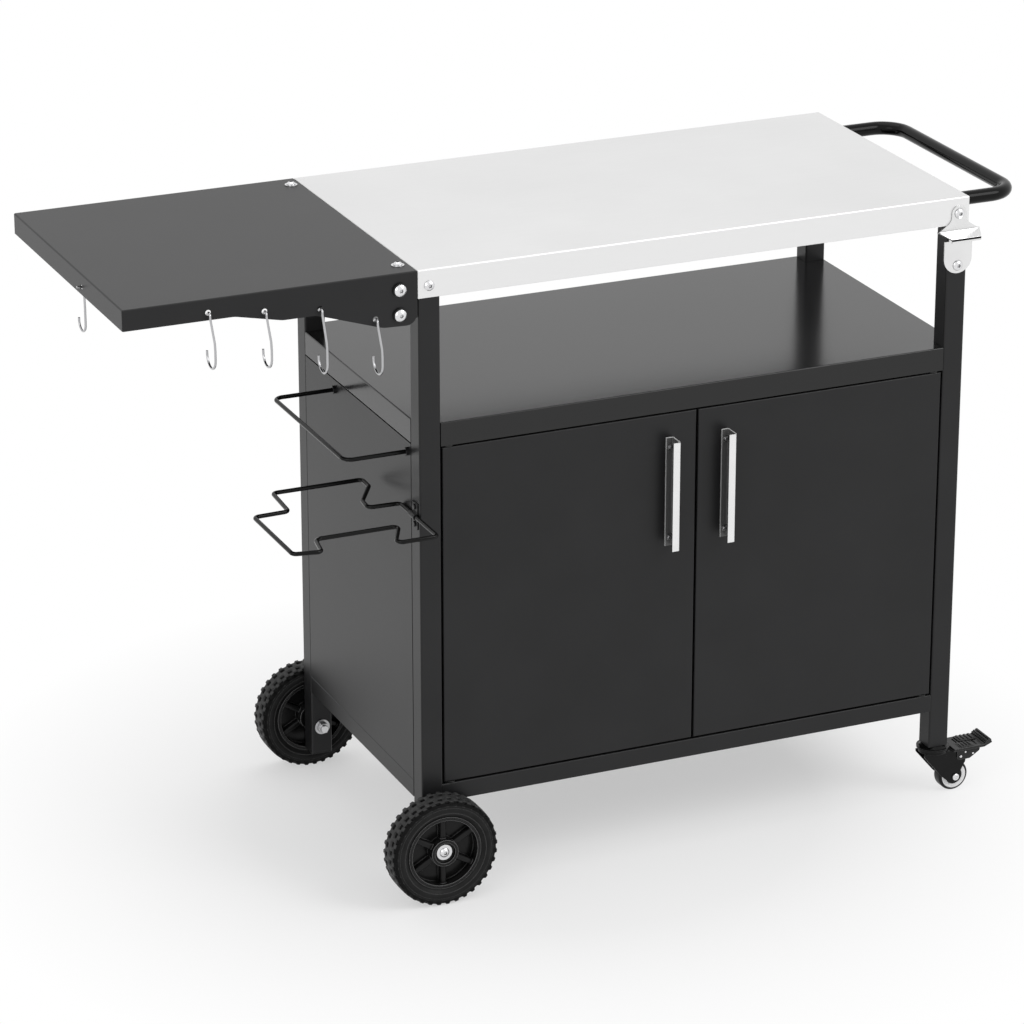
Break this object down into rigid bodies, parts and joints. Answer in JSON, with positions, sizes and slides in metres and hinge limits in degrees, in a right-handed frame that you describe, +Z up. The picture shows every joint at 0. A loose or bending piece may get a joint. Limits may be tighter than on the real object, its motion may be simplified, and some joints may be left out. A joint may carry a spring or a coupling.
{
  "type": "grill cart",
  "caption": "Wheeled grill cart: steel worktop on square posts, folded side table with wire hooks, push handle, closed cabinet with hinged doors, towel and bag racks, braked swivel casters.",
  "frame": {"origin": "on the floor, under the middle of the whole cart", "axes": "+X along the cart from the side table to the push handle, -Y the front with the doors, +Z up"},
  "size_m": [1.3092, 0.554, 0.885],
  "materials": {
    "steel_top": "satin stainless sheet, fine brushed grain",
    "black_coat": "black powder coat, semi-gloss, fine orange peel",
    "handle_coat": "black coat, smooth and glossier than the frame",
    "brushed_handle": "brushed along the handle, bright",
    "bright_wire": "polished plating",
    "bright_screw": "polished dome heads",
    "zinc_steel": "zinc plated, slightly dull",
    "black_rubber": "dull black rubber",
    "black_plastic": "moulded, low sheen",
    "grey_plastic": "moulded grey, low sheen",
    "caster_plastic": "moulded dark tread with a pale hub ring"
  },
  "bodies": {
    "frame": {"post_front_left": "black_coat", "post_rear_left": "black_coat", "post_front_right": "black_coat", "post_rear_right": "black_coat", "worktop_stiffener": "black_coat", "side_table": "black_coat", "side_table_brackets": "black_coat", "cabinet_top": "black_coat", "cabinet_floor": "black_coat", "side_panel_left": "black_coat", "side_panel_right": "black_coat", "back_panel": "black_coat", "towel_rod": "black_coat", "bag_ring": "black_coat", "bag_ring_clip": "black_coat", "worktop_tray": "steel_top", "push_handle": "handle_coat", "bottle_opener": "brushed_handle", "worktop_screws": "bright_screw", "side_table_bolts": "bright_screw", "side_table_screws": "bright_screw", "opener_screws": "bright_screw", "axle_bolts": "bright_screw", "push_handle_bolts": "zinc_steel", "axle_nuts": "zinc_steel", "axle_spacers": "zinc_steel", "post_caps": "black_plastic", "magnet_catches": "black_plastic", "side_table_spacers": "black_plastic", "pivot_bushes": "black_plastic", "towel_rod_nuts": "black_coat", "bag_ring_screws": "black_coat", "caster_sockets": "black_coat"},
    "door_left": {"door_left": "black_coat", "door_handle_left": "brushed_handle", "door_handle_screws_left": "zinc_steel", "door_pins_left": "zinc_steel"},
    "door_right": {"door_right": "black_coat", "door_handle_right": "brushed_handle", "door_handle_screws_right": "zinc_steel", "door_pins_right": "zinc_steel"},
    "front_wheel": {"front_tyre": "black_rubber", "front_rim": "black_plastic"},
    "rear_wheel": {"rear_tyre": "black_rubber", "rear_rim": "black_plastic"},
    "front_swivel": {"front_caster_fork": "black_coat", "front_caster_axle": "zinc_steel"},
    "rear_swivel": {"rear_caster_fork": "black_coat", "rear_caster_axle": "zinc_steel"},
    "front_roller": {"front_caster_wheel": "caster_plastic"},
    "rear_roller": {"rear_caster_wheel": "caster_plastic"},
    "front_brake": {"front_caster_pedal": "grey_plastic"},
    "rear_brake": {"rear_caster_pedal": "grey_plastic"},
    "hook_1": {"hook_1": "bright_wire"},
    "hook_2": {"hook_2": "bright_wire"},
    "hook_3": {"hook_3": "bright_wire"},
    "hook_4": {"hook_4": "bright_wire"},
    "hook_5": {"hook_5": "bright_wire"}
  },
  "joints": [
    {"name": "door_left_hinge", "type": "hinge", "parent": "frame", "child": "door_left", "pos_m": [-0.209, -0.20055, 0.39625], "axis": [0, 0, -1], "range_deg": [0, 110]},
    {"name": "door_right_hinge", "type": "hinge", "parent": "frame", "child": "door_right", "pos_m": [0.504, -0.20055, 0.39625], "axis": [0, 0, 1], "range_deg": [0, 110]},
    {"name": "front_wheel_spin", "type": "hinge", "parent": "frame", "child": "front_wheel", "pos_m": [-0.2365, -0.23305, 0.076], "axis": [0, 1, 0], "continuous": true},
    {"name": "rear_wheel_spin", "type": "hinge", "parent": "frame", "child": "rear_wheel", "pos_m": [-0.2365, 0.25695, 0.076], "axis": [0, 1, 0], "continuous": true},
    {"name": "front_caster_swivel", "type": "hinge", "parent": "frame", "child": "front_swivel", "pos_m": [0.5315, -0.19205, 0.0687], "axis": [0, 0, 1], "continuous": true},
    {"name": "front_caster_roll", "type": "hinge", "parent": "front_swivel", "child": "front_roller", "pos_m": [0.5615, -0.19205, 0.0225], "axis": [0, 1, 0], "continuous": true},
    {"name": "front_brake_pedal", "type": "hinge", "parent": "front_swivel", "child": "front_brake", "pos_m": [0.5685, -0.19205, 0.053], "axis": [0, 1, 0], "range_deg": [0, 12]},
    {"name": "rear_caster_swivel", "type": "hinge", "parent": "frame", "child": "rear_swivel", "pos_m": [0.5315, 0.21595, 0.0687], "axis": [0, 0, 1], "continuous": true},
    {"name": "rear_caster_roll", "type": "hinge", "parent": "rear_swivel", "child": "rear_roller", "pos_m": [0.5615, 0.21595, 0.0225], "axis": [0, 1, 0], "continuous": true},
    {"name": "rear_brake_pedal", "type": "hinge", "parent": "rear_swivel", "child": "rear_brake", "pos_m": [0.5685, 0.21595, 0.053], "axis": [0, 1, 0], "range_deg": [0, 12]},
    {"name": "hook_1_swing", "type": "hinge", "parent": "frame", "child": "hook_1", "pos_m": [-0.3105, -0.21057, 0.81899], "axis": [-1, 0, 0], "range_deg": [-15, 14]},
    {"name": "hook_2_swing", "type": "hinge", "parent": "frame", "child": "hook_2", "pos_m": [-0.3855, -0.21057, 0.84316], "axis": [-1, 0, 0], "range_deg": [-15, 14]},
    {"name": "hook_3_swing", "type": "hinge", "parent": "frame", "child": "hook_3", "pos_m": [-0.4605, -0.21057, 0.84983], "axis": [-1, 0, 0], "range_deg": [-15, 14]},
    {"name": "hook_4_swing", "type": "hinge", "parent": "frame", "child": "hook_4", "pos_m": [-0.5355, -0.21057, 0.85827], "axis": [-1, 0, 0], "range_deg": [-15, 14]},
    {"name": "hook_5_swing", "type": "hinge", "parent": "frame", "child": "hook_5", "pos_m": [-0.6479, -0.04805, 0.862], "axis": [0, 1, 0], "range_deg": [-10, 3]}
  ]
}
